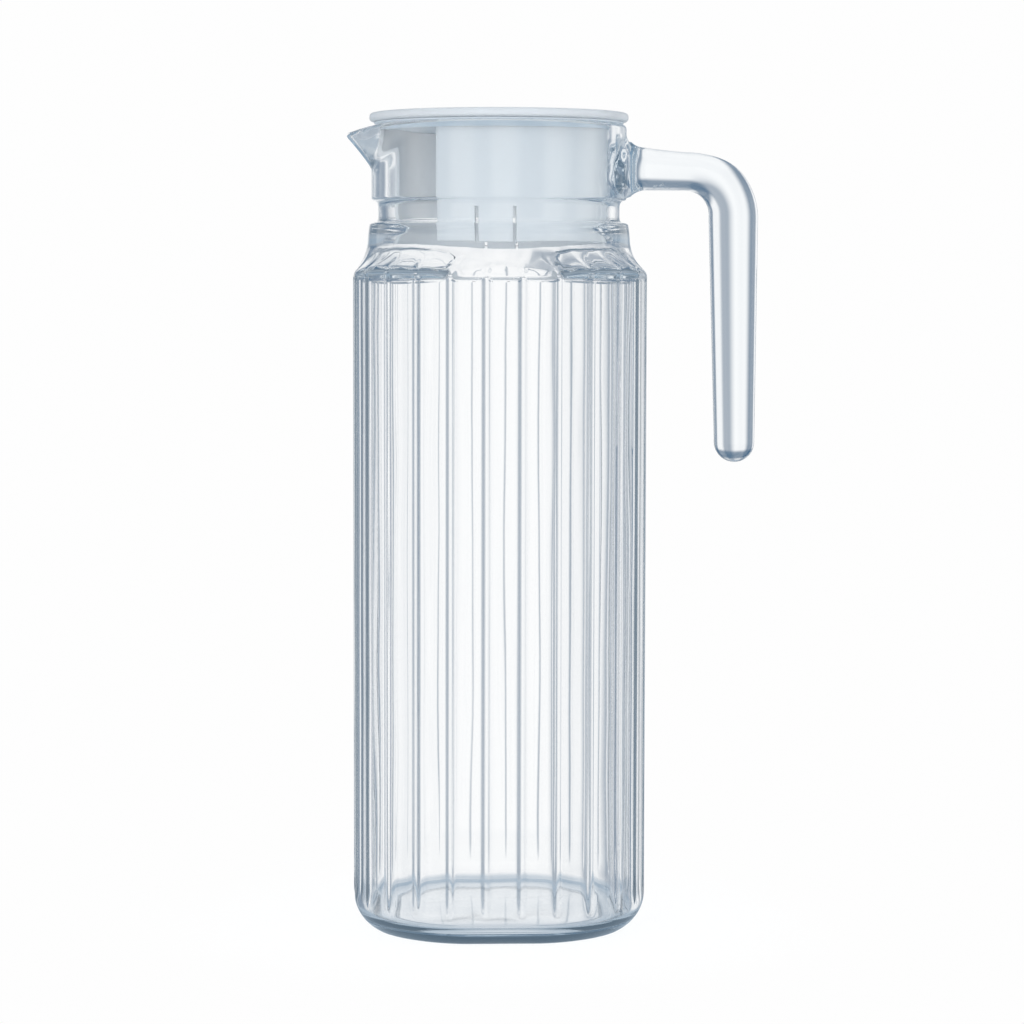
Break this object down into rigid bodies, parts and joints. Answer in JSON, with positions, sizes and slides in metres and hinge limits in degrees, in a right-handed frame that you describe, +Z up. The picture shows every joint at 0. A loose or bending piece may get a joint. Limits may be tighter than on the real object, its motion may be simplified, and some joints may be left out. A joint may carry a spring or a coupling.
{
  "type": "fridge jug",
  "caption": "Fluted glass fridge jug with a pinched pouring lip, an open-ended glass handle and a turning plastic lid whose sleeve has a pouring window.",
  "frame": {"origin": "centre of the foot's standing face, on the axis of the body and the neck", "axes": "+Z up along the jug's axis; +X towards the handle and -X towards the pouring lip; +Y to the back as the picture sees it"},
  "size_m": [0.1242, 0.0876, 0.245],
  "materials": {
    "glass": "clear pressed glass, fire polished, very faint blue tint",
    "lid_plastic": "translucent bluish white polyethylene, softly frosted",
    "seal": "soft translucent, satin"
  },
  "bodies": {
    "jug": {"glass_body": "glass", "glass_handle": "glass"},
    "seal": {"lid_seal": "seal"},
    "lid": {"lid_cap": "lid_plastic", "lid_sleeve": "lid_plastic"}
  },
  "joints": [
    {"name": "lid_lift", "type": "slide", "parent": "jug", "child": "seal", "axis": [0, 0, 1], "range_m": [0, 0.05]},
    {"name": "lid_turn", "type": "hinge", "parent": "seal", "child": "lid", "pos_m": [0, 0, 0.2417], "axis": [0, 0, 1], "continuous": true}
  ]
}
